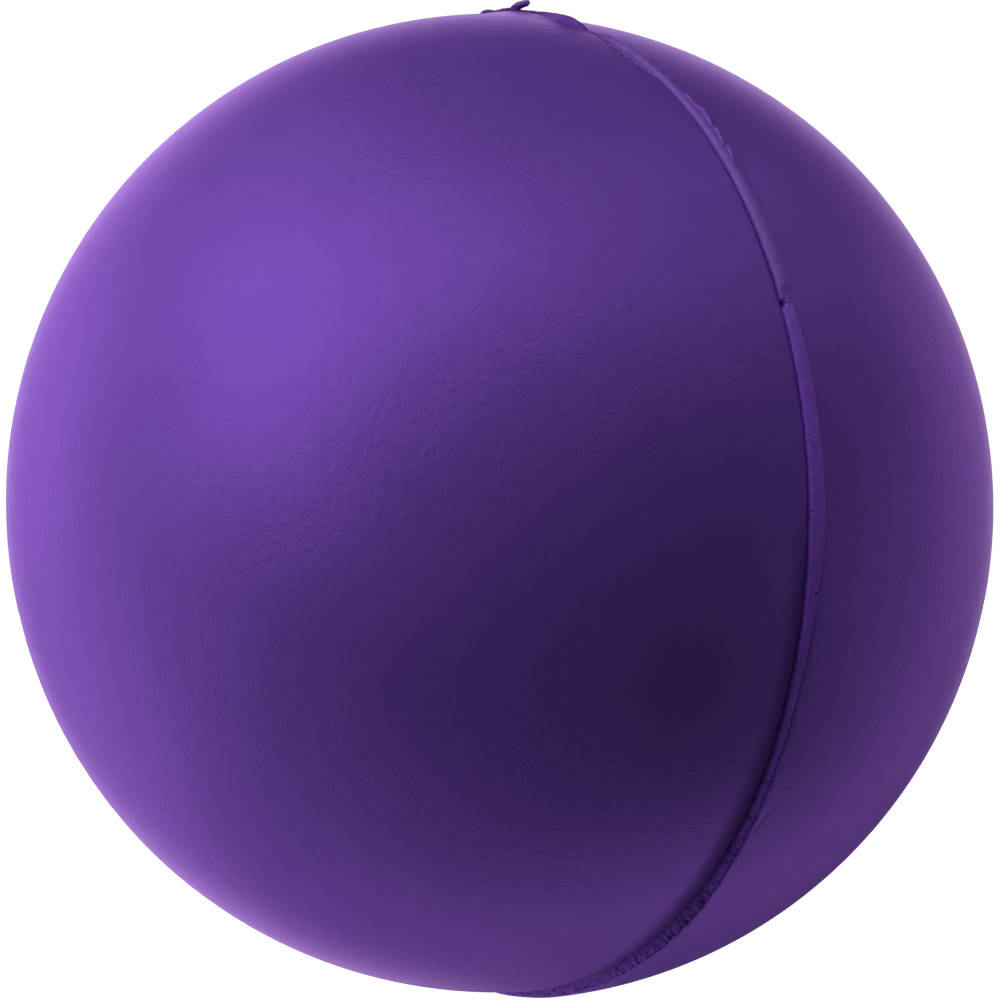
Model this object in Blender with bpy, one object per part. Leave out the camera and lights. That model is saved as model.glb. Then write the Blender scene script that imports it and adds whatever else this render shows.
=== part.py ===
"""Moulded foam ball with its own dense skin and a trimmed parting line.

Units are metres. The origin is the ball's centre. The mould opens along X, so the parting line
is a circle in the YZ plane. +Z points up through the torn nib and -Y is the ball's front.

A place on the parting line is given by its seam angle: 0 degrees is the front (-Y), 90 degrees
the top (+Z), 180 degrees the rear (+Y) and 270 or -90 degrees the underside (-Z).
"""
import math

import bmesh
import bpy

# Driving dimensions
BALL_RADIUS = 0.0315
SKIN_THICKNESS = 0.0012
CLEARANCE = 0.0003
BEAD_WIDTH = 0.0009
BEAD_HEIGHT = 0.00025

# Skin and core, worked out from the driving dimensions
SKIN_INNER_RADIUS = BALL_RADIUS - SKIN_THICKNESS
CORE_RADIUS = SKIN_INNER_RADIUS - CLEARANCE
RIM_X = BEAD_WIDTH / 2 + CLEARANCE
LEFT_RIM_ROUND = 0.0006
RIGHT_RIM_ROUND = 0.0002

# Facets
TURN_STEPS = 48
POLE_STEPS = 14
RIM_ROUND_STEPS = 3
BEAD_STEP_DEG = 4.0
FRILL_STEP_DEG = 1.0
SHARP_EDGE_DEG = 35.0
MERGE_DISTANCE = 1e-6

# The lengths of flash, by seam angle
NIB_ANGLE = 86.0
NIB_HALF_LENGTH_DEG = 1.0
END_GAP_DEG = math.degrees(CLEARANCE / SKIN_INNER_RADIUS)
PIT_ANGLE = 23.0
PIT_HALF_LENGTH_DEG = 0.7
UNDERSIDE_ANGLE = -92.0
FRILL_TOP_ANGLE = 57.0
FRILL_BOTTOM_ANGLE = 38.0

# The bead narrows towards the nib and a little towards the underside
NARROW_BEAD_WIDTH = 0.0004
LOWER_END_WIDTH = 0.00075
REAR_BEAD_WIDTH = 0.0008
BEAD_CROWN = 0.00006

# The frill is a thin sheet just above the right half's skin
FRILL_THICKNESS = 0.0002
FRILL_INNER_X = 0.0006
FRILL_WIDTH = 0.0003
FRILL_TOOTH_DEPTH = 0.0004
FRILL_TEETH = 4

# The nib rises out of the parting line and curls over to the right
NIB_THICKNESS = 0.0004
NIB_RISE = 0.0005
NIB_CURL_RADIUS = 0.0004
NIB_CURL_DEG = 80.0
NIB_CURL_STEPS = 6
NIB_TIP_LENGTH = 0.0003
NIB_TAPER = 0.5

PURPLE_SKIN = (0.120, 0.045, 0.300, 1.0)
PURPLE_FLASH = (0.165, 0.070, 0.370, 1.0)
PALE_CORE = (0.300, 0.190, 0.500, 1.0)


def clear_scene():
    for obj in list(bpy.data.objects):
        bpy.data.objects.remove(obj, do_unlink=True)


def principled(name, colour, roughness):
    material = bpy.data.materials.new(name)
    material.use_nodes = True
    shader = material.node_tree.nodes["Principled BSDF"]
    shader.inputs["Base Color"].default_value = colour
    shader.inputs["Roughness"].default_value = roughness
    shader.inputs["Metallic"].default_value = 0.0
    return material


def add_object(name, bm, material):
    """Give a closed bmesh outward faces and smooth shading, and link it as one named object."""
    bmesh.ops.recalc_face_normals(bm, faces=bm.faces)
    mesh = bpy.data.meshes.new(name)
    bm.to_mesh(mesh)
    bm.free()
    mesh.shade_smooth()
    mesh.set_sharp_from_angle(angle=math.radians(SHARP_EDGE_DEG))
    mesh.materials.append(material)
    obj = bpy.data.objects.new(name, mesh)
    bpy.context.collection.objects.link(obj)
    return obj


def arc(centre, radius, start_deg, end_deg, steps):
    """Points (x, r) on an arc, counted anticlockwise from +x."""
    points = []
    for i in range(steps + 1):
        angle = math.radians(start_deg + (end_deg - start_deg) * i / steps)
        points.append((centre[0] + radius * math.cos(angle), centre[1] + radius * math.sin(angle)))
    return points


def turned(name, profile, material):
    """Turn a profile of (x, r) points, whose ends are on the X axis, into a closed solid."""
    bm = bmesh.new()
    verts = [bm.verts.new((x, 0.0, r)) for x, r in profile]
    edges = [bm.edges.new(pair) for pair in zip(verts, verts[1:])]
    bmesh.ops.spin(
        bm, geom=verts + edges, cent=(0, 0, 0), axis=(1, 0, 0),
        angle=math.tau, steps=TURN_STEPS, use_duplicate=False,
    )
    bmesh.ops.remove_doubles(bm, verts=bm.verts, dist=MERGE_DISTANCE)
    return add_object(name, bm, material)


def foam_core(material):
    return turned("foam_core", arc((0, 0), CORE_RADIUS, 180, 0, 2 * POLE_STEPS), material)


def half_skin(name, side, rim_round, material):
    """One half of the skin: a bowl whose rim is rounded on its outside. side is -1 or +1."""
    round_centre_x = RIM_X + rim_round
    round_centre_r = math.sqrt((BALL_RADIUS - rim_round) ** 2 - round_centre_x ** 2)
    touch_deg = math.degrees(math.atan2(round_centre_r, round_centre_x))
    inner_rim_deg = math.degrees(math.acos(RIM_X / SKIN_INNER_RADIUS))
    outside = arc((0, 0), BALL_RADIUS, 0, touch_deg, POLE_STEPS)
    rounding = arc((round_centre_x, round_centre_r), rim_round, touch_deg, 180, RIM_ROUND_STEPS)
    inside = arc((0, 0), SKIN_INNER_RADIUS, inner_rim_deg, 0, POLE_STEPS)
    profile = outside + rounding[1:] + inside
    return turned(name, [(side * x, r) for x, r in profile], material)


def seam_point(x, r, angle_deg):
    angle = math.radians(angle_deg)
    return (x, -r * math.cos(angle), r * math.sin(angle))


def swept(name, sections, material):
    """Join cross-sections, each a list of points in space, into one closed solid."""
    bm = bmesh.new()
    rings = [[bm.verts.new(p) for p in section] for section in sections]
    for ring, following in zip(rings, rings[1:]):
        for i, vert in enumerate(ring):
            j = (i + 1) % len(ring)
            bm.faces.new((vert, ring[j], following[j], following[i]))
    bm.faces.new(rings[0])
    bm.faces.new(list(reversed(rings[-1])))
    return add_object(name, bm, material)


def seam_angles(start_deg, end_deg, step_deg):
    count = max(1, round(abs(end_deg - start_deg) / step_deg))
    return [start_deg + (end_deg - start_deg) * i / count for i in range(count + 1)]


def bead(name, start_deg, end_deg, start_width, end_width, material):
    """A length of trimmed flash: its root fills the gap between the rims, its top is cut flat."""
    angles = seam_angles(start_deg, end_deg, BEAD_STEP_DEG)
    top = BALL_RADIUS + BEAD_HEIGHT
    sections = []
    for i, angle in enumerate(angles):
        half = (start_width + (end_width - start_width) * i / (len(angles) - 1)) / 2
        outline = [
            (-half, SKIN_INNER_RADIUS), (half, SKIN_INNER_RADIUS),
            (half, top - BEAD_CROWN), (half - BEAD_CROWN, top),
            (-half + BEAD_CROWN, top), (-half, top - BEAD_CROWN),
        ]
        sections.append([seam_point(x, r, angle) for x, r in outline])
    return swept(name, sections, material)


def flash_frill(material):
    """A thin sheet just above the right skin, with a toothed free edge that fades at both ends."""
    angles = seam_angles(FRILL_TOP_ANGLE, FRILL_BOTTOM_ANGLE, FRILL_STEP_DEG)
    low = BALL_RADIUS + CLEARANCE
    high = low + FRILL_THICKNESS
    sections = []
    for i, angle in enumerate(angles):
        along = i / (len(angles) - 1)
        tooth = (along * FRILL_TEETH) % 1.0
        edge = FRILL_INNER_X + FRILL_WIDTH + FRILL_TOOTH_DEPTH * tooth * math.sin(math.pi * along)
        outline = [(FRILL_INNER_X, low), (edge, low), (edge, high), (FRILL_INNER_X, high)]
        sections.append([seam_point(x, r, angle) for x, r in outline])
    return swept("flash_frill", sections, material)


def flash_nib(material):
    """A torn tag: a straight root in the parting line, then a curl over the right half."""
    bend_r = BALL_RADIUS + NIB_RISE
    spine = [(0.0, SKIN_INNER_RADIUS, 0.0), (0.0, bend_r, 0.0)]
    for i in range(1, NIB_CURL_STEPS + 1):
        lean = math.radians(NIB_CURL_DEG * i / NIB_CURL_STEPS)
        x = NIB_CURL_RADIUS * (1 - math.cos(lean))
        spine.append((x, bend_r + NIB_CURL_RADIUS * math.sin(lean), lean))
    x, r, lean = spine[-1]
    spine.append((x + NIB_TIP_LENGTH * math.sin(lean), r + NIB_TIP_LENGTH * math.cos(lean), lean))
    sections = []
    for i, (x, r, lean) in enumerate(spine):
        shrink = 1.0 - NIB_TAPER * i / (len(spine) - 1)
        half = NIB_THICKNESS / 2 * shrink
        half_deg = NIB_HALF_LENGTH_DEG * shrink
        across = (half * math.cos(lean), -half * math.sin(lean))
        corners = [(-1, -1), (1, -1), (1, 1), (-1, 1)]
        sections.append([
            seam_point(x + side * across[0], r + side * across[1], NIB_ANGLE + end * half_deg)
            for side, end in corners
        ])
    return swept("flash_nib", sections, material)


def build():
    clear_scene()
    skin = principled("purple_skin", PURPLE_SKIN, 0.45)
    flash = principled("purple_flash", PURPLE_FLASH, 0.55)
    core = principled("foam_cells", PALE_CORE, 0.90)

    foam_core(core)
    half_skin("skin_half_left", -1, LEFT_RIM_ROUND, skin)
    half_skin("skin_half_right", 1, RIGHT_RIM_ROUND, skin)

    upper_start = NIB_ANGLE - NIB_HALF_LENGTH_DEG - END_GAP_DEG
    rear_start = NIB_ANGLE + NIB_HALF_LENGTH_DEG + END_GAP_DEG
    rear_end = UNDERSIDE_ANGLE + 360 - END_GAP_DEG
    pit_top = PIT_ANGLE + PIT_HALF_LENGTH_DEG
    pit_bottom = PIT_ANGLE - PIT_HALF_LENGTH_DEG
    bead("flash_bead_upper", upper_start, pit_top, NARROW_BEAD_WIDTH, BEAD_WIDTH, flash)
    bead("flash_bead_lower", pit_bottom, UNDERSIDE_ANGLE, BEAD_WIDTH, LOWER_END_WIDTH, flash)
    bead("flash_bead_rear", rear_start, rear_end, REAR_BEAD_WIDTH, REAR_BEAD_WIDTH, flash)
    flash_frill(flash)
    flash_nib(flash)


build()
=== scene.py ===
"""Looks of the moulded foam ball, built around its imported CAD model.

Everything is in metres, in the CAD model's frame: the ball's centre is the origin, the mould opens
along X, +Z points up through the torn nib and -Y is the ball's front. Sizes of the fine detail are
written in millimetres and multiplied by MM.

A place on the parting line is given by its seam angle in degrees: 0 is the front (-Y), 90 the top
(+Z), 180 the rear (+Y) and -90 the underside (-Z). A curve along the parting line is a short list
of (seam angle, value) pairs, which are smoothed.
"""

import math

import bmesh
import bpy
import numpy as np
from mathutils import Matrix, Vector


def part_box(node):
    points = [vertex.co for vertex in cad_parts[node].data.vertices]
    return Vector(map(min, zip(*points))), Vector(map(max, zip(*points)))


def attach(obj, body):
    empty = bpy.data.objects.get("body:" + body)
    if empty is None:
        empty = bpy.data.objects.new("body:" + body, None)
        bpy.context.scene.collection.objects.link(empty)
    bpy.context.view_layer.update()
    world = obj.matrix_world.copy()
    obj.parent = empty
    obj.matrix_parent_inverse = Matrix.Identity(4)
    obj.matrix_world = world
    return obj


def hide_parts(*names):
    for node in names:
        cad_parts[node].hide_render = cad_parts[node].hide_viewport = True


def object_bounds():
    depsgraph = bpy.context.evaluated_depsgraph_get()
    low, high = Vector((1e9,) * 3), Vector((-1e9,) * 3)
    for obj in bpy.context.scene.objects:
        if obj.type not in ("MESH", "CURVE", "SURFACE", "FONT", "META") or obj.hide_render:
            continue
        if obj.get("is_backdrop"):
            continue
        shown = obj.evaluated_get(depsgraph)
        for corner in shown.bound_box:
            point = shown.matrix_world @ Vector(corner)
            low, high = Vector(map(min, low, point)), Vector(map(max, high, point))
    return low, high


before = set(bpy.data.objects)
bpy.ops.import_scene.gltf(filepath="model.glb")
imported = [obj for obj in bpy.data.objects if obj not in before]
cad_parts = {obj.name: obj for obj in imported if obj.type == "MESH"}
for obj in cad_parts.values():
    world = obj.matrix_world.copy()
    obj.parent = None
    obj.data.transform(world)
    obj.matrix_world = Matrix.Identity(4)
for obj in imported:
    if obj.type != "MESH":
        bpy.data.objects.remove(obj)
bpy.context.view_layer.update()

MM = 0.001
CAD_CLEARANCE = 0.3 * MM
ROOT_CLEARANCE = 0.05 * MM
BALL_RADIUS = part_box("skin_half_right")[1].x
CORE_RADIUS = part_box("foam_core")[1].x
SKIN_INNER_RADIUS = CORE_RADIUS + CAD_CLEARANCE
ROOT_RADIUS = SKIN_INNER_RADIUS + ROOT_CLEARANCE

# The two mould halves didn't close quite true, so each half is a sphere of its own, a little
# smaller than the nominal one and off its centre.
MOULD_HALVES = {
    -1: {"radius": BALL_RADIUS - 0.29 * MM, "centre": (-0.38 * MM, 0.16 * MM)},
    1: {"radius": BALL_RADIUS - 0.09 * MM, "centre": (0.09 * MM, -0.15 * MM)},
}

# The rings of vertices that make a skin. Its outside is counted in rows from the pole to where the
# rim starts to round off: (last row, vertices in a ring). Rows lie closer together near the rim.
OUTER_RINGS = [(8, 225), (40, 450), (54, 900), (64, 1800)]
OUTER_ROWS, RIM_VERTICES = OUTER_RINGS[-1]
# The rim's rings, by their share of the rounded width
RIM_SHARES = (0.15, 0.3, 0.45, 0.6, 0.72, 0.82, 0.9, 0.96, 1.0)
LIP_SHARE = 0.1
LIP_RADIUS = 0.05 * MM
RIM_WALL_HEIGHT = 0.15 * MM
# The inside's rings next to the rim: (vertices, share of the way to the pole), then plain ones
INNER_RINGS = [(900, 0.0), (450, 0.01), (225, 0.03)]
PLAIN_INNER_SHARES = np.linspace(0.08, 0.97, 24)
PLAIN_INNER_VERTICES = 225

# The flash's mesh, its gap to the skins, the least widths of its cut face and of its left slope, and
# the stretch at each end where the face is smooth
FLASH_STEP_DEG = 0.11
FLASH_COLUMNS = 15
FLASH_GAP = 0.03 * MM
FLASH_LEAST_WIDTH = 0.25 * MM
FLASH_LEAST_SLOPE = 0.02 * MM
FLASH_END_DEG = 0.6
# How far the cut face drops at its corners, the right one only where the flash is torn, and over
# which share of its width
CORNER_DROP = 0.05 * MM
TORN_CORNER_DROP = 0.06 * MM
CORNER_SHARE = 0.06
CUT_RIPPLE_PITCH_DEG = 0.45

# The parting line wanders a little from the YZ plane. Places across it are given in mm from here.
PARTING_OFFSET = [(-90, 0.25), (-20, 0.25), (20, 0.2), (58, 0.2), (66, 0.1), (73, 0.0), (180, 0.0)]

# Edges of the two skins at the parting line
LEFT_EDGE = [
    (-90, -0.25), (-70, -0.25), (-58, -0.22), (-44, -0.20), (-34, -0.26), (-22, -0.36),
    (-10, -0.42), (5, -0.40), (15, -0.42), (22, -0.45), (26, -0.45), (37, -0.50), (45, -0.45),
    (52, -0.50), (57, -0.46), (58.2, -0.75), (60, -0.95), (61.5, -1.30), (63.5, -1.40),
    (66, -1.00), (68, -0.80), (70, -0.74), (71.8, -0.68), (73.4, -0.70), (74.2, -0.82),
    (74.9, -1.10), (76, -1.02), (78, -0.92), (80, -0.80), (88, -0.50), (180, -0.45),
]
RIGHT_EDGE = [
    (-90, 0.50), (-73, 0.65), (-65, 0.50), (-58, 0.48), (-52, 0.46), (-44, 0.26), (-30, 0.20),
    (-22, 0.28), (-12, 0.46), (-5, 0.66), (0, 0.72), (5, 0.62), (15, 0.55), (22, 0.42), (26, 0.50),
    (36, 0.52), (40, 0.32), (46, 0.16), (52, 0.12), (58, 0.16), (61, 0.33), (64, 0.38), (65, 0.10),
    (66.5, 0.10), (68.9, 0.44), (69.7, 0.0), (71, -0.15), (73, -0.10), (76, 0.10), (88, 0.30),
    (180, 0.40),
]
# How far the skins round off into the parting line: across it and in depth, in mm. Where the depth
# is negative, the rim swells up instead.
LEFT_ROUND_WIDTH = [
    (-85, 1.2), (-58, 1.0), (-20, 0.9), (0, 0.6), (15, 0.4), (26, 0.4), (57, 0.2), (62, 0.25),
    (73, 0.3), (76, 0.8), (82, 1.6), (92, 1.6), (100, 1.0), (120, 0.4), (180, 0.4),
]
LEFT_ROUND_DEPTH = [
    (-85, 0.16), (-20, 0.12), (0, 0.12), (15, 0.12), (26, 0.10), (57, 0.08), (62, 0.1),
    (68, 0.06), (71, -0.04), (74, -0.08), (80, -0.12), (84, -0.2), (92, -0.18), (96, 0.0),
    (120, 0.15), (180, 0.2),
]
RIGHT_ROUND_WIDTH = [(-90, 0.08), (-12, 0.08), (0, 0.05), (60, 0.05), (90, 0.12), (180, 0.10)]
RIGHT_ROUND_DEPTH = [(-90, 0.08), (-12, 0.08), (0, 0.03), (60, 0.03), (90, 0.10), (180, 0.08)]

# The flash: its top left corner, the heights of its two sides above the skins beside it, and the
# ridge that it carries, all in mm
FLASH_LEFT_TOP = [
    (-90, 0.10), (-58, 0.10), (-44, 0.04), (-34, 0.0), (-22, -0.08), (-10, -0.16), (5, -0.24),
    (15, -0.30), (22, -0.32), (26, -0.30), (37, -0.34), (45, -0.32), (52, -0.36), (57, -0.34),
    (58.2, -0.65), (60, -0.85), (61.5, -1.20), (63.5, -1.30), (66, -0.90), (68, -0.70),
    (70, -0.64), (71.8, -0.58), (73.4, -0.60), (74.2, -0.72), (74.9, -1.00), (76, -0.92),
    (78, -0.82), (80, -0.70), (88, -0.40), (180, -0.35),
]
FLASH_LEFT_HEIGHT = [
    (-90, -0.10), (-58, -0.10), (-44, -0.08), (-22, 0.0), (0, 0.03), (15, 0.03), (26, 0.0),
    (40, 0.0), (57, 0.0), (58.5, -0.05), (60, -0.12), (64, -0.15), (68, -0.15), (71.6, -0.2),
    (72.8, 0.04), (76, 0.03), (78, 0.0), (82, 0.0), (88, 0.05), (180, 0.05),
]
FLASH_RIGHT_HEIGHT = [
    (-90, -0.12), (-22, -0.10), (-10, -0.03), (0, 0.03), (15, 0.04), (21, 0.04), (22.6, -0.02),
    (24, 0.02), (26, 0.04), (38, 0.04), (46, 0.02), (57, 0.03), (64, 0.02), (70, 0.0),
    (72, -0.1), (74, 0.05), (76, 0.05), (82, 0.05), (180, 0.0),
]
RIDGE_HEIGHT = [
    (-90, 0.05), (-10, 0.05), (0, 0.05), (15, 0.07), (20.8, 0.09), (21.6, 0.0), (23.8, 0.0),
    (24.5, 0.20), (27, 0.21), (45, 0.24), (57, 0.22), (62, 0.24), (68, 0.20), (70, 0.05),
    (71.2, 0.03), (72.1, 0.34), (74, 0.43), (75.5, 0.42), (78, 0.36), (82, 0.28), (85, 0.32),
    (87, 0.45), (88.5, 0.42), (89.9, 0.33), (91.4, 0.52), (92.4, 0.48), (93.2, 0.15),
    (110, 0.06), (180, 0.06),
]
RIDGE_CENTRE = [
    (-22, 0.0), (0, 0.1), (15, 0.12), (26, 0.08), (37, 0.04), (45, -0.04), (57, -0.06),
    (62, 0.06), (66, 0.12), (70, 0.1), (72, -0.3), (73.5, -0.60), (76, -0.4), (79, 0.0),
    (180, 0.0),
]
RIDGE_HALF_WIDTH = [
    (-22, 0.30), (15, 0.45), (26, 0.46), (37, 0.42), (45, 0.33), (57, 0.32), (62, 0.28),
    (70, 0.25), (72, 0.4), (74, 0.6), (76, 0.5), (80, 0.35), (84, 0.30), (180, 0.35),
]

# Where the flash tears away from the right skin, from 0 for a clean join to 1 for a ragged one
RIGHT_SIDE_RAGGED = [(-90, 1), (-25, 1), (-12, 0.1), (60, 0), (80, 0.2), (180, 0.6)]

# How uneven the cut face of the flash is, in mm
CUT_ROUGHNESS = [
    (-90, 0.035), (-58, 0.035), (-44, 0.028), (-30, 0.02), (-10, 0.014), (20, 0.012), (57, 0.01),
    (60, 0.05), (72, 0.05), (73.5, 0.015), (180, 0.015),
]

# The pits torn into the flash: seam angle, mm from the plane, radius and depth in mm
PITS = [
    (-9.7, 0.35, 0.10, 0.25), (-49.0, 0.30, 0.10, 0.10), (-49.8, 0.20, 0.14, 0.12),
    (-50.5, 0.36, 0.16, 0.20), (-51.4, 0.30, 0.10, 0.12), (-53.2, 0.40, 0.14, 0.14),
    (-54.5, 0.44, 0.16, 0.18), (-55.6, 0.38, 0.10, 0.12), (-57.3, 0.34, 0.12, 0.12),
    (-58.1, 0.44, 0.18, 0.20), (-59.0, 0.34, 0.12, 0.12), (-60.6, 0.40, 0.10, 0.10),
    (-64.8, 0.40, 0.14, 0.10), (-69.2, 0.38, 0.14, 0.08),
    (64.2, -0.4, 0.10, 0.2), (63.4, -1.1, 0.14, 0.25), (62.4, -0.95, 0.18, 0.3),
    (61.4, -0.75, 0.14, 0.25), (59.6, -0.6, 0.12, 0.22), (58.5, -0.6, 0.12, 0.25),
    (22.5, -0.30, 0.24, 0.6),
]

# A row of pin-holes along the edge of the right skin, by seam angle. The ranges are in mm, and the
# spacing is a share of the pitch.
PIN_HOLE_FIRST = -22.8
PIN_HOLE_LAST = -48.0
PIN_HOLE_PITCH_DEG = 1.05
PIN_HOLE_SPACING = (0.5, 1.6)
PIN_HOLE_INSET = (0.0, 0.08)
PIN_HOLE_RADIUS = (0.05, 0.10)
PIN_HOLE_DEPTH = (0.06, 0.18)

# Pores scattered over the cut face all round, in mm
PORE_COUNT = 260
PORE_PLACE = (-0.4, 0.6)
PORE_RADIUS = (0.04, 0.08)
PORE_DEPTH = (0.03, 0.09)

# The lengths of flash, from one seam angle to another. The rear one goes over the back.
UPPER_BEAD = (84.98, 23.01)
LOWER_BEAD = (22.99, -91.95)
REAR_BEAD = (87.02, 267.95)

# The frill's free edge: seam angle and mm from the plane, tooth by tooth
FRILL_EDGE = [
    (53.6, 0.16), (52.4, 0.30), (52.0, 0.22), (51.2, 0.36), (50.8, 0.28), (50.0, 0.56),
    (49.6, 0.68), (49.2, 0.56), (48.5, 0.56), (47.9, 0.48), (47.1, 0.36), (46.75, 0.18),
    (46.4, 0.60), (46.0, 0.56), (45.5, 0.44), (44.7, 0.38), (44.0, 0.26), (43.75, 0.14),
    (43.4, 0.56), (43.0, 0.50), (42.4, 0.38), (41.6, 0.26), (40.8, 0.16),
]
# The frill's mesh; how far it reaches under the flash and its least width; how high it lies, how far
# it sags in the middle and lifts at its free edge; and the stretch over which its ends die away
FRILL_ROWS = 220
FRILL_COLUMNS = 7
FRILL_TUCK = 0.24 * MM
FRILL_LEAST_WIDTH = 0.04 * MM
FRILL_LIFT = 0.20 * MM
FRILL_SAG = 0.12 * MM
FRILL_EDGE_LIFT = 0.06 * MM
FRILL_RIPPLE = 0.02 * MM
FRILL_THICKNESS = 0.08 * MM
FRILL_END_DEG = 1.5
FRILL_END_FULLNESS = 0.15

# The nib's centre line, root first, in mm: along X, along the seam towards the front, and above the
# surface; then its half thickness and half width there
NIB_ANGLE = 86.0
NIB_SPINE = [
    (-0.06, 0.0, -0.9, 0.30, 0.50), (-0.06, 0.0, -0.15, 0.30, 0.50),
    (-0.06, 0.01, 0.08, 0.31, 0.46), (-0.02, 0.05, 0.24, 0.29, 0.36),
    (0.10, 0.14, 0.38, 0.25, 0.29), (0.26, 0.25, 0.48, 0.23, 0.27),
    (0.42, 0.34, 0.55, 0.22, 0.26), (0.55, 0.42, 0.59, 0.22, 0.26),
    (0.66, 0.47, 0.59, 0.19, 0.23), (0.73, 0.50, 0.57, 0.09, 0.12),
]
NIB_ROWS = 46
NIB_COLUMNS = 20
NIB_SMOOTHING_REACH = 2
NIB_UNEVENNESS = 0.07

# How far the cells stand out of the core or go into it, in mm
FOAM_CELL = 0.04

# A short oblique tear in the right skin: its seam angle, and the rest in mm. Its direction is given
# as the shares of its length across the parting line and along it.
TEAR_ANGLE = -37.2
TEAR_CENTRE = 0.9
TEAR_HALF_LENGTH = 0.85
TEAR_HALF_WIDTH = 0.17
TEAR_DEPTH = 0.05
TEAR_DIRECTION = (0.27, 0.96)


def along_seam(theta, pairs, soften=0.8):
    """A smooth closed curve along the parting line through (seam angle, value) pairs."""
    step = 0.1
    grid = np.arange(-180, 180, step)
    angles, values = zip(*pairs)
    raw = np.interp(grid, angles, values, period=360)
    reach = max(1, round(3 * soften / step))
    offsets = np.arange(-reach, reach + 1) * step
    weights = np.exp(-0.5 * (offsets / soften) ** 2)
    padded = np.concatenate([raw[-reach:], raw, raw[:reach]])
    smooth = np.convolve(padded, weights / weights.sum(), mode="valid")
    return np.interp(theta, grid, smooth, period=360)


def ripple(theta, pitch_deg, seed):
    """Smooth random waves along the parting line, between -1 and 1, that close on themselves."""
    count = round(360 / pitch_deg)
    knots = np.random.default_rng(seed).uniform(-1, 1, count)
    place = np.mod(theta, 360) / 360 * count
    index = np.floor(place).astype(int)
    blend = place - index
    blend = blend * blend * (3 - 2 * blend)
    return knots[index % count] * (1 - blend) + knots[(index + 1) % count] * blend


def across_seam(theta, pairs, soften=0.35):
    """Places in mm from the YZ plane, from a curve that is given from the parting line."""
    return along_seam(theta, pairs, soften) + along_seam(theta, PARTING_OFFSET)


def left_edge(theta):
    """The left skin's edge, in mm from the YZ plane."""
    rough = 0.02 * ripple(theta, 1.1, 1) + 0.02 * ripple(theta, 4.0, 2)
    return across_seam(theta, LEFT_EDGE) + rough


def right_edge(theta):
    """The right skin's edge, in mm from the YZ plane, rougher where the flash tears away from it."""
    rough = 0.045 * ripple(theta, 0.8, 3) + 0.03 * ripple(theta, 2.3, 4)
    amount = 0.2 + 0.8 * along_seam(theta, RIGHT_SIDE_RAGGED)
    return across_seam(theta, RIGHT_EDGE) + amount * rough


def half_radius(side, x, theta):
    """Distance from the origin to the moulded surface of one half, at x from the seam's plane."""
    half = MOULD_HALVES[side]
    cx, cz = half["centre"]
    lean = np.clip(x / BALL_RADIUS, -1, 1)
    flat = np.sqrt(1 - lean ** 2)
    toward = cx * lean + cz * flat * np.sin(np.radians(theta))
    return toward + np.sqrt(half["radius"] ** 2 - cx ** 2 - cz ** 2 + toward ** 2)


def place(x, r, theta):
    """The point at x from the seam's plane and r from the ball's centre, at a seam angle."""
    turn = np.radians(theta)
    rho = np.sqrt(np.maximum(r ** 2 - x ** 2, 0))
    return np.stack([x + 0 * rho, -rho * np.cos(turn), rho * np.sin(turn)], axis=-1)


def waves(points):
    """Slow unevenness of the moulded surface, a few hundredths of a millimetre."""
    x, y, z = (points[..., i] / BALL_RADIUS for i in range(3))
    slow = np.sin(5.1 * x + 2.3 * y + 1.0) * np.sin(4.3 * z - 1.9 * x + 0.4)
    quick = np.sin(11.0 * y + 3.7 * z) * np.sin(9.4 * x - 6.1 * z + 2.0)
    return 0.020 * MM * slow + 0.006 * MM * quick


def smooth_mesh(name, points, faces, material):
    """A smooth-shaded object with one material."""
    mesh = bpy.data.meshes.new(name)
    mesh.from_pydata([tuple(p) for p in points], [], faces)
    mesh.validate()
    mesh.shade_smooth()
    mesh.materials.append(material)
    obj = bpy.data.objects.new(name, mesh)
    bpy.context.scene.collection.objects.link(obj)
    return obj


def ring_faces(first, count, second, next_count):
    """Faces between two rings of vertices. The second ring has as many as the first or half."""
    faces = []
    if next_count == count:
        for i in range(count):
            j = (i + 1) % count
            faces.append((first + i, first + j, second + j, second + i))
        return faces
    if next_count * 2 == count:
        for i in range(next_count):
            j = (i + 1) % next_count
            a, b, c = first + 2 * i, first + 2 * i + 1, first + (2 * i + 2) % count
            faces += [(a, b, second + i), (b, second + j, second + i), (b, c, second + j)]
        return faces
    return [tuple(reversed(f)) for f in ring_faces(second, next_count, first, count)]


def closed_bowl(name, rings, outer_pole, inner_pole, side, material):
    """A closed bowl from rings of points, outer pole first. Each ring runs round the X axis."""
    points, starts = [outer_pole], []
    for ring in rings:
        starts.append(len(points))
        points.extend(ring)
    points.append(inner_pole)
    last = len(points) - 1
    count = len(rings[0])
    faces = [(0, starts[0] + (i + 1) % count, starts[0] + i) for i in range(count)]
    for k in range(len(rings) - 1):
        faces += ring_faces(starts[k], len(rings[k]), starts[k + 1], len(rings[k + 1]))
    count = len(rings[-1])
    faces += [(last, starts[-1] + i, starts[-1] + (i + 1) % count) for i in range(count)]
    if side > 0:
        faces = [tuple(reversed(f)) for f in faces]
    return smooth_mesh(name, points, faces, material)


def around(count):
    """Seam angles of the vertices of a ring."""
    return -180 + 360 * np.arange(count) / count


def along_in_mm(theta, angle):
    """How far a place lies along the parting line from a seam angle."""
    return (theta - angle) * math.radians(1) * BALL_RADIUS / MM


def tear_depth(side, x, theta):
    """How deep the tear in the right skin is at a place, in metres."""
    across = x / MM - TEAR_CENTRE
    along = along_in_mm(theta, TEAR_ANGLE)
    slant, run = TEAR_DIRECTION
    lengthwise = (slant * across + run * along) / TEAR_HALF_LENGTH
    sideways = (run * across - slant * along) / TEAR_HALF_WIDTH
    return (side > 0) * TEAR_DEPTH * MM * np.exp(-(lengthwise ** 4) - sideways ** 2)


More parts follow.
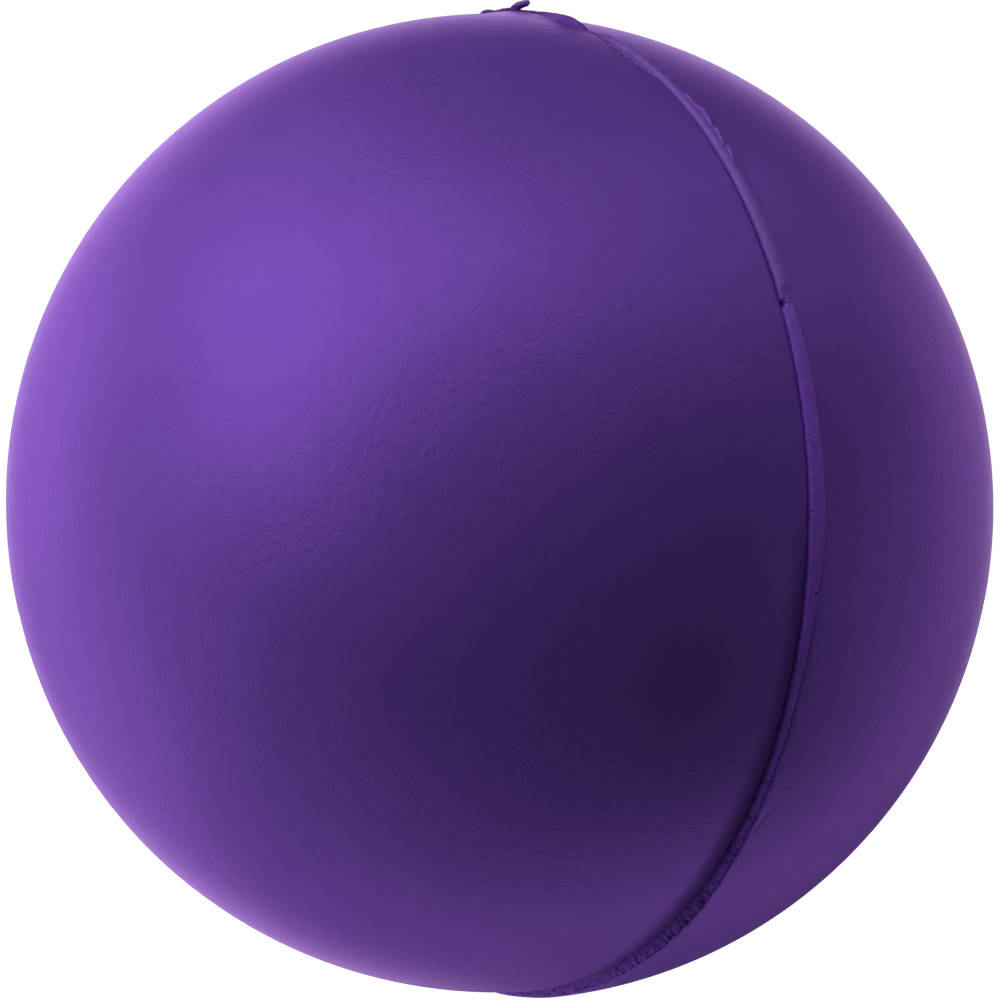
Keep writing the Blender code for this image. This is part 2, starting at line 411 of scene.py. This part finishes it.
def lip_drop(share):
    """How far the edge's own small round has fallen, 0 to 1, at a share of the rounded width."""
    into_lip = max(0.0, (share - (1 - LIP_SHARE)) / LIP_SHARE)
    return 1 - math.sqrt(1 - into_lip ** 2)


def ring_vertices(row):
    """How many vertices a ring of the outside has."""
    return next(vertices for last_row, vertices in OUTER_RINGS if row <= last_row)


def rim_to_pole(row):
    """The place of a row of the outside, from 1 at the pole to 0 at the rim."""
    even = 1 - row / OUTER_ROWS
    return 0.2 * even + 0.8 * even ** 3


def moulded_ring(x, r, theta):
    """A ring of points on the moulded surface, with its slow unevenness."""
    ring = place(x, r, theta)
    return ring * (1 + waves(ring) / BALL_RADIUS)[:, None]


def skin_half(name, side, material):
    """One half of the skin: its moulded surface, its rounded rim and its inside."""
    edge_of = left_edge if side < 0 else right_edge
    width_pairs = LEFT_ROUND_WIDTH if side < 0 else RIGHT_ROUND_WIDTH
    depth_pairs = LEFT_ROUND_DEPTH if side < 0 else RIGHT_ROUND_DEPTH
    pole_lat = side * math.pi / 2
    rings = []

    # From the pole to where the rim starts to round off
    for row in range(1, OUTER_ROWS + 1):
        theta = around(ring_vertices(row))
        start = edge_of(theta) * MM + side * along_seam(theta, width_pairs) * MM
        start_lat = np.arcsin(start / BALL_RADIUS)
        x = BALL_RADIUS * np.sin(start_lat + (pole_lat - start_lat) * rim_to_pole(row))
        r = half_radius(side, x, theta) - tear_depth(side, x, theta)
        rings.append(moulded_ring(x, r, theta))

    # The rounding and the wall below it
    theta = around(RIM_VERTICES)
    edge = edge_of(theta) * MM
    width = along_seam(theta, width_pairs) * MM
    depth = along_seam(theta, depth_pairs) * MM
    for share in RIM_SHARES:
        x = edge + side * width * (1 - share)
        r = half_radius(side, x, theta) - depth * share ** 2 - LIP_RADIUS * lip_drop(share)
        rings.append(moulded_ring(x, r, theta))
    wall_foot = half_radius(side, edge, theta) - depth - LIP_RADIUS - RIM_WALL_HEIGHT
    rings.append(place(edge, wall_foot, theta))

    # The inside, which nothing shows
    for vertices, share in INNER_RINGS:
        theta = around(vertices)
        lat = np.arcsin(edge_of(theta) * MM / SKIN_INNER_RADIUS)
        lat = lat + (pole_lat - lat) * share
        rings.append(place(SKIN_INNER_RADIUS * np.sin(lat), SKIN_INNER_RADIUS, theta))
    theta = around(PLAIN_INNER_VERTICES)
    for share in PLAIN_INNER_SHARES:
        x = SKIN_INNER_RADIUS * math.sin(pole_lat * share)
        rings.append(place(x + 0 * theta, SKIN_INNER_RADIUS, theta))

    outer_pole = (side * half_radius(side, side * BALL_RADIUS, 0.0), 0, 0)
    inner_pole = (side * SKIN_INNER_RADIUS, 0, 0)
    return closed_bowl(name, rings, outer_pole, inner_pole, side, material)


def pit_depth(x, theta):
    """How deep the pits, pin-holes and pores go at each place of the flash, in metres."""
    rng = np.random.default_rng(11)
    deep = np.zeros_like(x)
    offset = along_seam(theta, PARTING_OFFSET)

    def dent(angle, centre, radius, depth):
        across = (x / MM - offset - centre) / radius
        along = along_in_mm(theta, angle) / radius
        near = across ** 2 + along ** 2
        np.maximum(deep, depth * MM * np.exp(-(near ** 2)), out=deep)

    for pit in PITS:
        dent(*pit)
    angle = PIN_HOLE_FIRST
    while angle > PIN_HOLE_LAST:
        edge = float(along_seam(np.array([angle]), RIGHT_EDGE)[0])
        centre = edge - rng.uniform(*PIN_HOLE_INSET)
        dent(angle, centre, rng.uniform(*PIN_HOLE_RADIUS), rng.uniform(*PIN_HOLE_DEPTH))
        angle -= PIN_HOLE_PITCH_DEG * rng.uniform(*PIN_HOLE_SPACING)
    for _ in range(PORE_COUNT):
        angle = rng.uniform(-180, 180)
        dent(angle, rng.uniform(*PORE_PLACE), rng.uniform(*PORE_RADIUS), rng.uniform(*PORE_DEPTH))
    return deep


def smoothed(values):
    """Values on a grid, each averaged with the one before it in its column and in its row."""
    return (values + np.roll(values, 1, 0) + np.roll(values, 1, 1)) / 3


def column(values):
    """A value for each row of a grid."""
    return values[:, None]


def cut_face(x, theta, left_r, right_r, ridge, rough, ragged, seed):
    """Distances from the ball's centre to the cut face of a length of flash.

    x is a grid of places: one row for each seam angle, from the left corner to the right one.
    ridge holds the ridge's height, centre and half width along the parting line.
    """
    share = np.linspace(0, 1, x.shape[1])[None, :]
    ridge_height, ridge_x, ridge_w = ridge
    hump = np.clip(1 - ((x - column(ridge_x)) / column(ridge_w)) ** 2, 0, 1) ** 0.8
    blend = share * share * (3 - 2 * share)
    r = column(left_r) * (1 - blend) + column(right_r) * blend + column(ridge_height) * hump
    grain = smoothed(np.random.default_rng(seed).normal(0, 1, x.shape))
    slanted = ripple(theta + 3 * x / MM, CUT_RIPPLE_PITCH_DEG, seed + 1)
    r += column(rough) * (grain + 0.5 * slanted)
    r -= pit_depth(x, theta)
    r -= CORNER_DROP * np.exp(-(share / CORNER_SHARE) ** 2)
    r -= column(ragged) * TORN_CORNER_DROP * np.exp(-((1 - share) / CORNER_SHARE) ** 2)
    return r


def flash_bead(name, span, seed, material):
    """A length of flash: a root between the rims, a sloped left wall and a cut, pitted top."""
    start, end = span
    rows = round(abs(end - start) / FLASH_STEP_DEG)
    theta = np.linspace(start, end, rows + 1)
    to_end = np.minimum(np.abs(theta - start), np.abs(theta - end))
    theta = np.mod(theta + 180, 360) - 180

    ragged = along_seam(theta, RIGHT_SIDE_RAGGED)
    left = left_edge(theta) * MM + FLASH_GAP
    right = right_edge(theta) * MM - FLASH_GAP * (0.2 + 0.8 * ragged)
    corner = np.minimum(across_seam(theta, FLASH_LEFT_TOP) * MM, right - FLASH_LEAST_WIDTH)
    corner = np.maximum(corner, left + FLASH_LEAST_SLOPE)
    left_r = half_radius(-1, left, theta) + along_seam(theta, FLASH_LEFT_HEIGHT) * MM
    right_r = half_radius(1, right, theta) + along_seam(theta, FLASH_RIGHT_HEIGHT) * MM
    ridge = (
        along_seam(theta, RIDGE_HEIGHT, 0.4) * MM,
        across_seam(theta, RIDGE_CENTRE, 0.8) * MM,
        along_seam(theta, RIDGE_HALF_WIDTH) * MM,
    )
    rough = along_seam(theta, CUT_ROUGHNESS) * MM * np.clip(to_end / FLASH_END_DEG, 0, 1)

    share = np.linspace(0, 1, FLASH_COLUMNS)[None, :]
    x = column(corner) + column(right - corner) * share
    t = column(theta) + 0 * x
    r = cut_face(x, t, left_r, right_r, ridge, rough, ragged, seed)

    # The root and one more point up each wall
    root_r = column(ROOT_RADIUS + 0 * left)
    left_wall_x = column(left + (x[:, 0] - left) * 0.5)
    left_wall_r = column(ROOT_RADIUS + (r[:, 0] - ROOT_RADIUS) * 0.55)
    right_wall_r = column(ROOT_RADIUS + (r[:, -1] - ROOT_RADIUS) * 0.6)
    x = np.hstack([column(left), left_wall_x, x, column(right), column(right)])
    r = np.hstack([root_r, left_wall_r, r, right_wall_r, root_r])
    t = np.repeat(column(theta), x.shape[1], axis=1)
    return swept(name, place(x, r, t), material)


def swept(name, sections, material):
    """One closed solid from cross-sections of the same number of points, with flat ends."""
    count, size = sections.shape[:2]
    faces = []
    for k in range(count - 1):
        for i in range(size):
            j = (i + 1) % size
            a, b = k * size, (k + 1) * size
            faces.append((a + i, b + i, b + j, a + j))
    faces.append(tuple(range(size)))
    faces.append(tuple(reversed(range((count - 1) * size, count * size))))
    obj = smooth_mesh(name, sections.reshape(-1, 3), faces, material)
    outward(obj)
    return obj


def outward(obj):
    """Turn all faces of a closed mesh outwards."""
    bm = bmesh.new()
    bm.from_mesh(obj.data)
    bmesh.ops.recalc_face_normals(bm, faces=bm.faces)
    bm.to_mesh(obj.data)
    bm.free()


def frill(name, material):
    """A thin ragged sheet on the right skin, whose teeth lift a little at their free edge."""
    angles, edges = zip(*FRILL_EDGE)
    theta = np.linspace(angles[0], angles[-1], FRILL_ROWS)
    # The edge is read from the lowest angle up, as interpolation needs it
    free = np.interp(theta, angles[::-1], edges[::-1]) * MM
    free += FRILL_RIPPLE * ripple(theta, 0.5, 21)
    free += along_seam(theta, PARTING_OFFSET) * MM
    inner = right_edge(theta) * MM - FRILL_TUCK
    free = np.maximum(free, inner + FRILL_LEAST_WIDTH)

    share = np.linspace(0, 1, FRILL_COLUMNS)[None, :]
    x = column(inner) + column(free - inner) * share
    t = np.repeat(column(theta), FRILL_COLUMNS, axis=1)
    to_end = np.minimum(theta[0] - theta, theta - theta[-1])
    fullness = column(np.clip(to_end / FRILL_END_DEG, FRILL_END_FULLNESS, 1))
    edge_lift = FRILL_EDGE_LIFT * share ** 2 + FRILL_RIPPLE * ripple(t, 0.7, 22) * share
    lift = FRILL_LIFT - FRILL_SAG * np.sin(math.pi * share ** 0.7) + edge_lift * fullness
    thick = FRILL_THICKNESS * np.sqrt(1 - 0.7 * share ** 6) * (0.4 + 0.6 * fullness)
    ground = half_radius(1, x, t)
    low = place(x, ground + lift, t)
    high = place(x, ground + lift + thick, t)
    return swept(name, np.concatenate([high, low[:, ::-1]], axis=1), material)


def across_line(direction, tangent):
    """The part of a direction that is square to each tangent, at unit length."""
    square = direction - column(tangent @ direction) * tangent
    return square / column(np.linalg.norm(square, axis=1))


def nib(name, material):
    """The torn tag at the top: a root in the parting line, a waist, and a blunt curled end."""
    rows = np.linspace(0, len(NIB_SPINE) - 1, NIB_ROWS)
    points = np.arange(len(NIB_SPINE))
    values = [np.interp(rows, points, given) for given in zip(*NIB_SPINE)]
    reach = NIB_SMOOTHING_REACH
    window = np.ones(2 * reach + 1) / (2 * reach + 1)
    values = [np.convolve(np.pad(v, reach, mode="edge"), window, "valid") for v in values]
    to_right, to_front, rise, thin, wide = (v * MM for v in values)

    angle = math.radians(NIB_ANGLE)
    up = np.array([0, -math.cos(angle), math.sin(angle)])
    front = np.array([0, -math.sin(angle), -math.cos(angle)])
    right = np.array([1.0, 0, 0])
    centre = column(to_right) * right + column(to_front) * front + column(BALL_RADIUS + rise) * up
    tangent = np.gradient(centre, axis=0)
    tangent /= column(np.linalg.norm(tangent, axis=1))
    wide_dir = across_line(front, tangent)
    thin_dir = np.cross(tangent, wide_dir)

    turn = np.linspace(0, math.tau, NIB_COLUMNS, endpoint=False)
    bumps = np.random.default_rng(31).normal(0, 1, (NIB_ROWS, NIB_COLUMNS))
    uneven = smoothed(1 + NIB_UNEVENNESS * bumps)
    section = (
        centre[:, None, :]
        + (column(thin) * np.cos(turn) * uneven)[..., None] * thin_dir[:, None, :]
        + (column(wide) * np.sin(turn) * uneven)[..., None] * wide_dir[:, None, :]
    )
    return swept(name, section, material)


def foam_ball(name, material):
    """The foam core: a sphere whose cells roughen it."""
    radius = CORE_RADIUS - ROOT_CLEARANCE
    bpy.ops.mesh.primitive_ico_sphere_add(subdivisions=6, radius=radius)
    obj = bpy.context.object
    obj.name = obj.data.name = name
    points = np.empty(len(obj.data.vertices) * 3)
    obj.data.vertices.foreach_get("co", points)
    points = points.reshape(-1, 3)
    cells = np.random.default_rng(41).uniform(-FOAM_CELL, FOAM_CELL, len(points)) * MM
    points *= (1 + cells / CORE_RADIUS)[:, None]
    obj.data.vertices.foreach_set("co", points.ravel())
    obj.data.shade_smooth()
    obj.data.materials.append(material)
    return obj


# Materials. Colours are linear RGB. The skin's colour, its metallic share and the gloss tint come
# from the same fit as the softboxes below, rounded and then corrected. Foam is no metal: the
# metallic share only colours its gloss.

SKIN_COLOUR = (0.23, 0.096, 0.60)
# The flash's low and high colours hold painted light and shade besides its own tone
FLASH_COLOUR_LOW = (0.31, 0.115, 0.80)
FLASH_COLOUR_HIGH = (0.26, 0.13, 0.58)
# Painted shade on the torn crest, for the nib's shadow
CREST_SHADE_COLOUR = (0.17, 0.055, 0.44)
NIB_TIP_COLOUR = (0.30, 0.14, 0.66)
# Painted shade inside the open cells of the torn flash
OPEN_CELL_SHADE_COLOUR = (0.01, 0.004, 0.03)
FRILL_COLOUR = (0.32, 0.14, 0.76)
FOAM_COLOUR = (0.30, 0.19, 0.50)
BLACK = (0, 0, 0)
GLOSS_TINT = (0.87, 0.20, 1.0, 1)
SKIN_METALLIC = 0.42
FLASH_METALLIC = 0.20


def node(tree, kind, **inputs):
    """A shader node with some inputs set. An underscore in a keyword stands for a space."""
    made = tree.nodes.new(kind)
    for key, value in inputs.items():
        made.inputs[key.replace("_", " ")].default_value = value
    return made


def new_material(name):
    """A material, its node tree and its shader."""
    material = bpy.data.materials.new(name)
    material.use_nodes = True
    return material, material.node_tree, material.node_tree.nodes["Principled BSDF"]


def noise(tree, scale, detail=2.0, roughness=0.5):
    """Noise in the object's own coordinates. scale is in waves per metre."""
    where = tree.nodes.new("ShaderNodeTexCoord")
    made = node(tree, "ShaderNodeTexNoise", Scale=scale, Detail=detail, Roughness=roughness)
    tree.links.new(where.outputs["Object"], made.inputs["Vector"])
    return made.outputs["Fac"]


def tinted(tree, shader, colour, pattern, amount):
    """Base colour that varies by plus or minus an amount with a pattern."""
    ramp = tree.nodes.new("ShaderNodeValToRGB")
    low, high = ramp.color_ramp.elements
    low.position, high.position = 0.3, 0.7
    low.color = [c * (1 - amount) for c in colour] + [1]
    high.color = [c * (1 + amount) for c in colour] + [1]
    tree.links.new(pattern, ramp.inputs["Fac"])
    tree.links.new(ramp.outputs["Color"], shader.inputs["Base Color"])


def bumped(tree, shader, layers):
    """Bumps stacked on each other: (pattern output, strength, depth in metres)."""
    normal = None
    for pattern, strength, distance in layers:
        bump = node(tree, "ShaderNodeBump", Strength=strength, Distance=distance)
        tree.links.new(pattern, bump.inputs["Height"])
        if normal is not None:
            tree.links.new(normal, bump.inputs["Normal"])
        normal = bump.outputs["Normal"]
    tree.links.new(normal, shader.inputs["Normal"])


def fade(tree, axis, start, end):
    """From 0 to 1, smoothly, between two places in mm along an axis of the ball."""
    where = tree.nodes.new("ShaderNodeTexCoord")
    split = tree.nodes.new("ShaderNodeSeparateXYZ")
    made = node(tree, "ShaderNodeMapRange", From_Min=start * MM, From_Max=end * MM)
    made.interpolation_type = "SMOOTHSTEP"
    tree.links.new(where.outputs["Object"], split.inputs["Vector"])
    tree.links.new(split.outputs[axis], made.inputs["Value"])
    return made.outputs["Result"]


def combined(tree, operation, first, second):
    """A sum or product of two values, each a socket or a plain number."""
    made = tree.nodes.new("ShaderNodeMath")
    made.operation = operation
    for number, value in enumerate((first, second)):
        if isinstance(value, float):
            made.inputs[number].default_value = value
        else:
            tree.links.new(value, made.inputs[number])
    return made.outputs["Value"]


def times(tree, first, second):
    """The product of two values, each a socket or a plain number."""
    return combined(tree, "MULTIPLY", first, second)


def between(tree, axis, rise, fall):
    """From 0 up to 1 over one stretch in mm along an axis, and down to 0 over another."""
    return times(tree, fade(tree, axis, *rise), fade(tree, axis, *fall))


def shaded(tree, shader, colour, amount):
    """Mix the base colour towards another one; amount is a socket that gives 0 to 1."""
    made = tree.nodes.new("ShaderNodeMix")
    made.data_type = "RGBA"
    made.inputs["B"].default_value = (*colour, 1)
    base = shader.inputs["Base Color"].links[0].from_socket
    tree.links.new(base, made.inputs["A"])
    tree.links.new(amount, made.inputs["Factor"])
    tree.links.new(made.outputs["Result"], shader.inputs["Base Color"])


def coloured_gloss(shader, metallic):
    """Gloss that takes on the foam's purple."""
    shader.inputs["Metallic"].default_value = metallic
    shader.inputs["Specular IOR Level"].default_value = 0.5
    shader.inputs["Specular Tint"].default_value = GLOSS_TINT


def uneven_roughness(tree, shader, scale, low, high, extra):
    """Roughness that noise varies between two values, plus a socket of extra roughness."""
    rough = node(tree, "ShaderNodeMapRange", To_Min=low, To_Max=high)
    tree.links.new(noise(tree, scale), rough.inputs["Value"])
    total = combined(tree, "ADD", rough.outputs["Result"], extra)
    tree.links.new(total, shader.inputs["Roughness"])


def cell_bumps(tree, shader, scale):
    """The bumps of small cut cells."""
    cells = noise(tree, scale, 3, 0.6)
    bumped(tree, shader, [(cells, 0.6, 0.03 * MM)])


def skin_material():
    """Closed satin skin with coloured gloss, a shallow orange peel and painted shade in the lower
    groove.
    """
    material, tree, shader = new_material("ball_skin")
    coloured_gloss(shader, SKIN_METALLIC)
    tinted(tree, shader, SKIN_COLOUR, noise(tree, 160, 3), 0.03)
    # Painted shade: the left half is darkened where it goes down into the groove of the lower
    # parting line, for the shadow that the proud right half casts there, and it is more matt there
    # too
    near_groove = between(tree, "X", (-1.9, -0.2), (0.2, 0.1))
    groove = times(tree, near_groove, fade(tree, "Z", 4, -6))
    shaded(tree, shader, BLACK, times(tree, groove, 0.42))
    more_matt = times(tree, groove, 0.4)
    uneven_roughness(tree, shader, scale=700, low=0.47, high=0.53, extra=more_matt)
    peel = noise(tree, 1900, 3, 0.6)
    grain = noise(tree, 5500, 2, 0.6)
    bumped(tree, shader, [(peel, 1.0, 0.042 * MM), (grain, 1.0, 0.012 * MM)])
    return material


def thin_flash_material():
    """The frill: foam so thin that it looks lighter than the flash beside it. Its colour is painted
    lighter to stand in for that light.
    """
    material, tree, shader = new_material("ball_frill")
    coloured_gloss(shader, FLASH_METALLIC)
    shader.inputs["Roughness"].default_value = 0.6
    tinted(tree, shader, FRILL_COLOUR, noise(tree, 2500, 3), 0.15)
    cell_bumps(tree, shader, 7000)
    return material


def flash_material():
    """Cut foam, more matt than the skin, with fine open cells. The torn crest at the top is painted
    dark: painted shade.
    """
    material, tree, shader = new_material("ball_flash")
    coloured_gloss(shader, FLASH_METALLIC)
    tinted(tree, shader, FLASH_COLOUR_LOW, noise(tree, 1500, 3), 0.10)
    # The flash's colour goes from lighter and bluer low down to darker higher up: partly its own
    # tone, partly painted light and shade for how brightly each stretch is lit
    shaded(tree, shader, FLASH_COLOUR_HIGH, fade(tree, "Z", 4, 18))
    # Painted shade: the torn crest at the top is darkened, for the shadow of the nib and of its own
    # steep faces
    shaded(tree, shader, CREST_SHADE_COLOUR, fade(tree, "Z", 28.5, 30.5))

    # Painted shade: dark speckles for the shade inside the open cells where the lower length is torn
    # from the right skin, and the upper from the left
    open_cell_shade = node(tree, "ShaderNodeMapRange", From_Min=0.50, From_Max=0.62)
    tree.links.new(noise(tree, 3600, 2, 0.6), open_cell_shade.inputs["Value"])
    cells = open_cell_shade.outputs["Result"]
    lower_tear = times(tree, fade(tree, "Z", -10, -22), fade(tree, "X", 0.0, 0.55))
    lower_cell_shade = times(tree, lower_tear, cells)
    shaded(tree, shader, OPEN_CELL_SHADE_COLOUR, times(tree, lower_cell_shade, 0.65))
    upper_stretch = between(tree, "Z", (25.8, 27.0), (29.5, 28.8))
    upper_tear = times(tree, upper_stretch, fade(tree, "X", -0.4, -0.8))
    upper_cell_shade = times(tree, upper_tear, cells)
    shaded(tree, shader, OPEN_CELL_SHADE_COLOUR, times(tree, upper_cell_shade, 0.8))

    # Painted shadow: the foot of the nib is darkened most, where the nib overhangs the crest, and
    # its tip is given a light colour again
    nib_foot_shadow = between(tree, "Z", (30.95, 31.25), (31.95, 31.7))
    shaded(tree, shader, BLACK, times(tree, nib_foot_shadow, 0.45))
    shaded(tree, shader, NIB_TIP_COLOUR, fade(tree, "Z", 31.75, 32.0))

    more_matt = times(tree, fade(tree, "Z", -8, -20), 0.2)
    uneven_roughness(tree, shader, scale=3000, low=0.55, high=0.65, extra=more_matt)
    cell_bumps(tree, shader, 9000)
    return material


def core_material():
    """Open foam cells, pale and matt."""
    material, tree, shader = new_material("ball_foam")
    shader.inputs["Specular IOR Level"].default_value = 0.2
    shader.inputs["Roughness"].default_value = 0.9
    tinted(tree, shader, FOAM_COLOUR, noise(tree, 900, 3), 0.15)
    cells = node(tree, "ShaderNodeTexVoronoi", Scale=2500)
    where = tree.nodes.new("ShaderNodeTexCoord")
    tree.links.new(where.outputs["Object"], cells.inputs["Vector"])
    bumped(tree, shader, [(cells.outputs["Distance"], 0.9, 0.2 * MM)])
    return material


# Camera, floor and light

CAMERA_AZIMUTH = -36.0
CAMERA_ELEVATION = 0.4
CAMERA_ROLL = 0.56
CAMERA_DISTANCE = 10 * BALL_RADIUS
CAMERA_LENS = 176.9
CAMERA_SHIFT_Y = 0.0053
SENSOR_WIDTH = 36

BACKDROP_BRIGHTNESS = 1.05
FILL_BRIGHTNESS = 0.01
FLOOR_HALF_WIDTH = 20.0
FLOOR_GREY = 0.9


def turn_vectors(azimuth, elevation):
    """Towards the camera and to its right, for a camera at that azimuth and elevation."""
    a, e = math.radians(azimuth), math.radians(elevation)
    back = Vector((math.sin(a) * math.cos(e), -math.cos(a) * math.cos(e), math.sin(e)))
    right = Vector((math.cos(a), math.sin(a), 0))
    return back, right


def add_camera():
    """The camera, level with the ball and a little to the left of its front."""
    data = bpy.data.cameras.new("camera")
    camera = bpy.data.objects.new("camera", data)
    bpy.context.scene.collection.objects.link(camera)
    data.sensor_width = SENSOR_WIDTH
    data.lens = CAMERA_LENS
    data.shift_y = CAMERA_SHIFT_Y
    data.clip_start, data.clip_end = 0.01, 50
    back, _ = turn_vectors(CAMERA_AZIMUTH, CAMERA_ELEVATION)
    camera.location = back * CAMERA_DISTANCE
    upright = (-back).to_track_quat("-Z", "Y").to_matrix().to_4x4()
    roll = Matrix.Rotation(math.radians(-CAMERA_ROLL), 4, "Z")
    camera.rotation_mode = "QUATERNION"
    camera.rotation_quaternion = (upright @ roll).to_quaternion()
    bpy.context.scene.camera = camera


# Softboxes: name, azimuth to the right of the camera, elevation, width and height in degrees as
# the ball sees them, and brightness. A least-squares fit of the ball's shading, made by a separate
# program, picked them out of 37 that were placed by hand, and gave their brightnesses. These were
# then rounded, and a few were changed.
SOFTBOXES = [
    ("key_low", -55, 15, 40, 30, 1.5),
    ("key_high", -60, 40, 40, 30, 1.7),
    ("front_top", -10, 55, 40, 30, 1.4),
    ("left_top", -105, 52, 40, 34, 0.7),
    ("left_low", -88, -20, 30, 40, 0.6),
    ("left_floor", -95, -55, 50, 34, 0.25),
    ("left_rear", -125, 10, 36, 34, 1.6),
    ("left_rear_low", -125, -25, 36, 34, 1.25),
    ("rear_left_low", -165, -22, 24, 26, 2.3),
    ("rear", -178, 8, 50, 34, 2.8),
    ("rear_top", -172, 27, 50, 14, 1.4),
    ("right_rear", 135, 8, 36, 36, 0.9),
    ("right_rear_low", 130, -30, 40, 36, 0.55),
    ("right", 95, -10, 36, 40, 0.35),
    ("right_top", 80, 50, 60, 36, 0.5),
    ("under", -40, -80, 60, 40, 0.2),
    ("under_rear", 170, -65, 60, 36, 0.65),
]
SOFTBOX_DISTANCE = 0.9


def add_softbox(name, azimuth, elevation, width, height, brightness):
    """An area light that faces the ball's centre and that the camera doesn't see."""
    a, e = math.radians(azimuth), math.radians(elevation)
    back, right = turn_vectors(CAMERA_AZIMUTH, 0)
    toward = math.cos(e) * (math.cos(a) * back + math.sin(a) * right)
    toward += Vector((0, 0, math.sin(e)))
    data = bpy.data.lights.new(name, "AREA")
    data.shape = "RECTANGLE"
    data.size = 2 * SOFTBOX_DISTANCE * math.tan(math.radians(width / 2))
    data.size_y = 2 * SOFTBOX_DISTANCE * math.tan(math.radians(height / 2))
    data.energy = brightness * math.pi * data.size * data.size_y
    lamp = bpy.data.objects.new(name, data)
    bpy.context.scene.collection.objects.link(lamp)
    lamp.location = toward * SOFTBOX_DISTANCE
    lamp.rotation_euler = toward.to_track_quat("Z", "Y").to_euler()
    lamp.visible_camera = False


def add_floor(height):
    """A pale floor that the camera sees. It doesn't light the ball: the low softboxes do."""
    mesh = bpy.data.meshes.new("floor")
    half = FLOOR_HALF_WIDTH
    corners = [(-half, -half, 0), (half, -half, 0), (half, half, 0), (-half, half, 0)]
    mesh.from_pydata(corners, [], [(0, 1, 2, 3)])
    material, _, shader = new_material("floor_white")
    shader.inputs["Base Color"].default_value = (FLOOR_GREY, FLOOR_GREY, FLOOR_GREY, 1)
    shader.inputs["Roughness"].default_value = 1.0
    shader.inputs["Specular IOR Level"].default_value = 0.0
    shader.inputs["Emission Color"].default_value = (1, 1, 1, 1)
    shader.inputs["Emission Strength"].default_value = BACKDROP_BRIGHTNESS
    mesh.materials.append(material)
    floor = bpy.data.objects.new("floor", mesh)
    bpy.context.scene.collection.objects.link(floor)
    floor.location.z = height
    floor.visible_diffuse = False
    floor.visible_glossy = False
    floor.visible_shadow = False
    floor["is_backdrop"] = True


def add_world():
    """White behind the ball for the camera, and only a faint fill for everything else."""
    world = bpy.data.worlds.new("studio")
    world.use_nodes = True
    tree = world.node_tree
    tree.nodes.clear()
    white = (1, 1, 1, 1)
    seen = node(tree, "ShaderNodeBackground", Color=white, Strength=BACKDROP_BRIGHTNESS)
    fill = node(tree, "ShaderNodeBackground", Color=white, Strength=FILL_BRIGHTNESS)
    path = tree.nodes.new("ShaderNodeLightPath")
    mix = tree.nodes.new("ShaderNodeMixShader")
    out = tree.nodes.new("ShaderNodeOutputWorld")
    tree.links.new(path.outputs["Is Camera Ray"], mix.inputs["Fac"])
    tree.links.new(fill.outputs["Background"], mix.inputs[1])
    tree.links.new(seen.outputs["Background"], mix.inputs[2])
    tree.links.new(mix.outputs["Shader"], out.inputs["Surface"])
    bpy.context.scene.world = world


def add_ball():
    """All pieces of the ball, each riding on its body in place of its CAD node."""
    skin, flash = skin_material(), flash_material()
    core = foam_ball("foam_ball", core_material())
    pieces = [
        (core, "foam_core", "foam_cells"),
        (skin_half("skin_left", -1, skin), "skin_half_left", "purple_skin"),
        (skin_half("skin_right", 1, skin), "skin_half_right", "purple_skin"),
        (flash_bead("bead_upper", UPPER_BEAD, 5, flash), "flash_bead_upper", "purple_flash"),
        (flash_bead("bead_lower", LOWER_BEAD, 6, flash), "flash_bead_lower", "purple_flash"),
        (flash_bead("bead_rear", REAR_BEAD, 7, flash), "flash_bead_rear", "purple_flash"),
        (frill("frill", thin_flash_material()), "flash_frill", "purple_flash"),
        (nib("nib", flash), "flash_nib", "purple_flash"),
    ]
    for piece, cad_node, slot in pieces:
        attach(piece, "root")
        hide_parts(cad_node)


bpy.context.scene.view_settings.view_transform = "Standard"
add_ball()
add_camera()
add_world()
add_floor(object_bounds()[0].z)
for softbox in SOFTBOXES:
    add_softbox(*softbox)
